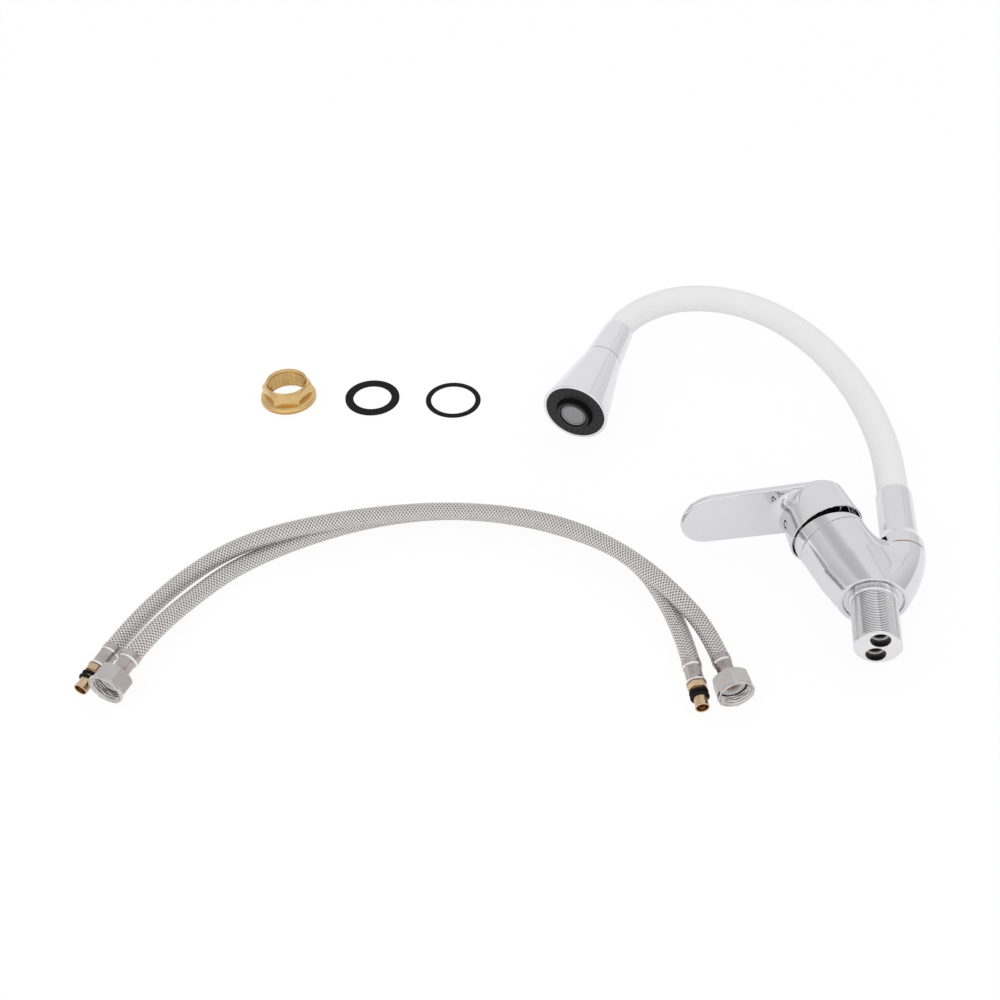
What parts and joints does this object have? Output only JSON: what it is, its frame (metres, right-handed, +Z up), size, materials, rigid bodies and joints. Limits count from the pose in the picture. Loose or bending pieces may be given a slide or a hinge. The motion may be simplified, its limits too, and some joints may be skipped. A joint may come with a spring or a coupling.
{
  "type": "flexible spout kitchen mixer",
  "caption": "Single-lever kitchen mixer with a bendable white spout hose and cone spray head, lying with its lock nut, gaskets and braided supply hoses.",
  "frame": {"origin": "on the surface that the kit lies on, under the middle of the box of the mixer and the loose nut and gaskets", "axes": "+Z up from the surface, +X to the right and +Y away from the viewer as the kit is pictured; the mixer's sleeve points 8.8 degrees right of +Y"},
  "size_m": [0.6259, 0.4596, 0.0593],
  "materials": {
    "chrome": "polished chrome plate",
    "chrome_plastic": "polished chrome plate on plastic",
    "shank_metal": "machined and plated thread",
    "brass": "bare machined brass",
    "steel": "plain stainless steel",
    "nickel": "nickel plated brass",
    "steel_braid": "stainless wire braid over a rubber tube",
    "white_silicone": "matt white silicone skin",
    "black_plastic": "matt black plastic",
    "cartridge_plastic": "moulded plastic",
    "disc_ceramic": "lapped ceramic",
    "black_rubber": "black rubber",
    "grey_fibre": "grey fibre washer"
  },
  "bodies": {
    "kit": {"body_casting": "chrome", "threaded_shank": "shank_metal", "wedge_ring": "chrome", "dust_cover": "black_plastic", "cartridge_nut": "brass", "cartridge_base": "cartridge_plastic", "cartridge_seals": "black_rubber", "cartridge_housing": "cartridge_plastic", "fixed_disc": "disc_ceramic", "outlet_nipple": "brass", "nipple_rings": "black_rubber", "thrust_ring": "brass", "lock_nut": "brass", "deck_gasket": "black_rubber", "base_ring_gasket": "black_rubber", "supply_a_hose": "steel_braid", "supply_a_tail": "brass", "supply_a_tail_rings": "black_rubber", "supply_a_tail_ferrule": "steel", "supply_a_union_tail": "brass", "supply_a_union_washer": "grey_fibre", "supply_a_union_ferrule": "steel", "supply_b_hose": "steel_braid", "supply_b_tail": "brass", "supply_b_tail_rings": "black_rubber", "supply_b_tail_ferrule": "steel", "supply_b_union_tail": "brass", "supply_b_union_washer": "grey_fibre", "supply_b_union_ferrule": "steel"},
    "turret": {"cartridge_rotor": "cartridge_plastic", "pivot_pin": "steel"},
    "handle": {"spindle": "brass", "lever_handle": "chrome", "set_screw": "steel"},
    "sliding_disc": {"moving_disc": "disc_ceramic", "disc_carrier": "cartridge_plastic"},
    "spout_foot": {"spout_sleeve": "chrome", "sleeve_hose_tail": "brass", "spout_hose_lower": "white_silicone"},
    "spout_middle": {"spout_hose_middle": "white_silicone"},
    "spout_end": {"spout_hose_upper": "white_silicone", "head_hose_tail": "brass", "head_collar": "chrome_plastic"},
    "spray_head": {"head_cone": "chrome_plastic", "nozzle_plate": "black_plastic", "aerator_housing": "black_plastic", "aerator_mesh": "steel", "water_guide": "black_plastic"},
    "union_a": {"supply_a_union_nut": "nickel"},
    "union_b": {"supply_b_union_nut": "nickel"}
  },
  "joints": [
    {"name": "handle_turn", "type": "hinge", "parent": "kit", "child": "turret", "pos_m": [0.19575, -0.10791, 0.02966], "axis": [-0.2957, 0.9553, 0], "range_deg": [-45, 45]},
    {"name": "handle_lift", "type": "hinge", "parent": "turret", "child": "handle", "pos_m": [0.19575, -0.10791, 0.02966], "axis": [0, 0, -1], "range_deg": [0, 25]},
    {"name": "disc_slide", "type": "slide", "parent": "turret", "child": "sliding_disc", "axis": [-0.9553, -0.2957, 0], "range_m": [0, 0.00693]},
    {"name": "spout_swivel", "type": "hinge", "parent": "kit", "child": "spout_foot", "pos_m": [0.24582, -0.11381, 0.02966], "axis": [0.153, 0.9882, 0], "continuous": true},
    {"name": "spout_bend_low", "type": "hinge", "parent": "spout_foot", "child": "spout_middle", "pos_m": [0.25318, 0.07506, 0.03275], "axis": [0, 0, 1], "range_deg": [-15, 15], "deforming": ["spout_hose_lower", "spout_hose_middle"]},
    {"name": "spout_bend_high", "type": "hinge", "parent": "spout_middle", "child": "spout_end", "pos_m": [0.13823, 0.20091, 0.04145], "axis": [0, 0, 1], "range_deg": [-20, 20], "deforming": ["spout_hose_upper"]},
    {"name": "head_twist", "type": "hinge", "parent": "spout_end", "child": "spray_head", "pos_m": [0.03499, 0.11154, 0.0348], "axis": [0.3877, 0.9179, 0.084], "range_deg": [-90, 90]},
    {"name": "union_a_spin", "type": "hinge", "parent": "kit", "child": "union_a", "pos_m": [0.1046, -0.23195, 0.0134], "axis": [-0.2062, 0.9785, 0], "continuous": true},
    {"name": "union_b_spin", "type": "hinge", "parent": "kit", "child": "union_b", "pos_m": [-0.32582, -0.22842, 0.0134], "axis": [0.3714, 0.9285, 0], "continuous": true}
  ],
  "couplings": [
    {"joint": "disc_slide", "follows": "handle_lift", "m_per_rad": 0.01588}
  ]
}
